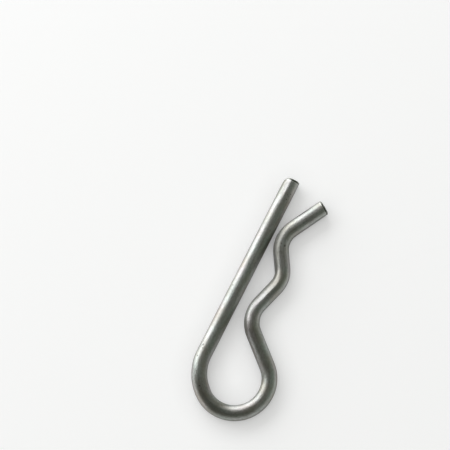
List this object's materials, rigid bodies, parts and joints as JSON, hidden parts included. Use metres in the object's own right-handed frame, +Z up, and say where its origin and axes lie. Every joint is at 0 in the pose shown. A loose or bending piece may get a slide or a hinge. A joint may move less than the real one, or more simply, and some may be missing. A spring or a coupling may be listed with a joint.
{
  "type": "hitch pin",
  "caption": "Spring-wire hitch pin lying flat: a straight leg for the cross hole of a shaft, a round bow, and a waved leg that snaps over the outside of the shaft.",
  "frame": {"origin": "on the surface the pin lies on, below the middle of its outline", "axes": "+Y along the straight leg, from the bow to the cut end; +X from the straight leg towards the waved leg; +Z up, square to the flat the wire is bent in"},
  "size_m": [0.0224, 0.063, 0.004],
  "materials": {
    "zinc_plate": "thin bright zinc plating over drawn spring steel wire, with fine lines along the wire and small dents and specks"
  },
  "bodies": {
    "root": {"hitch_pin": "zinc_plate"}
  },
  "joints": []
}
